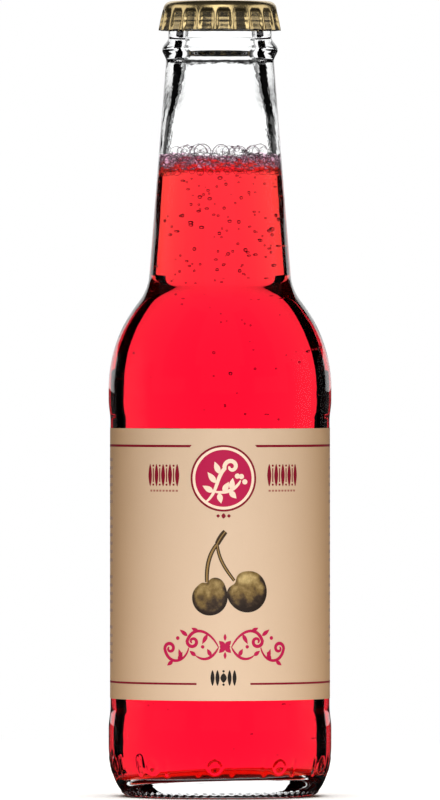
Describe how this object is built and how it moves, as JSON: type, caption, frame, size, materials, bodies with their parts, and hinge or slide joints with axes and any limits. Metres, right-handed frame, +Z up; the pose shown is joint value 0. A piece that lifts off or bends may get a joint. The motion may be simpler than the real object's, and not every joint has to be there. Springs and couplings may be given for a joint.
{
  "type": "glass soda bottle",
  "caption": "Clear returnable glass soda bottle with red soda, foam, a wrap-round paper label and a crimped crown cap that lifts off.",
  "frame": {"origin": "centre of the ring that the bottle stands on", "axes": "+Z up along the bottle's axis, -Y towards the label's front"},
  "size_m": [0.052, 0.052, 0.1854],
  "materials": {
    "bottle_glass": "clear flint glass, smooth",
    "label_paper": "printed coated paper",
    "red_soda": "clear red liquid",
    "soda_foam": "wet bubbles",
    "crown_tinplate": "gold lacquered tinplate",
    "liner_seal": "moulded soft seal"
  },
  "bodies": {
    "bottle": {"glass_bottle": "bottle_glass", "wrap_label": "label_paper", "soda_fill": "red_soda", "foam_head": "soda_foam"},
    "crown": {"crown_shell": "crown_tinplate", "crown_liner": "liner_seal"}
  },
  "joints": [
    {"name": "crown_lift", "type": "slide", "parent": "bottle", "child": "crown", "axis": [0, 0, 1], "range_m": [0, 0.06]}
  ]
}
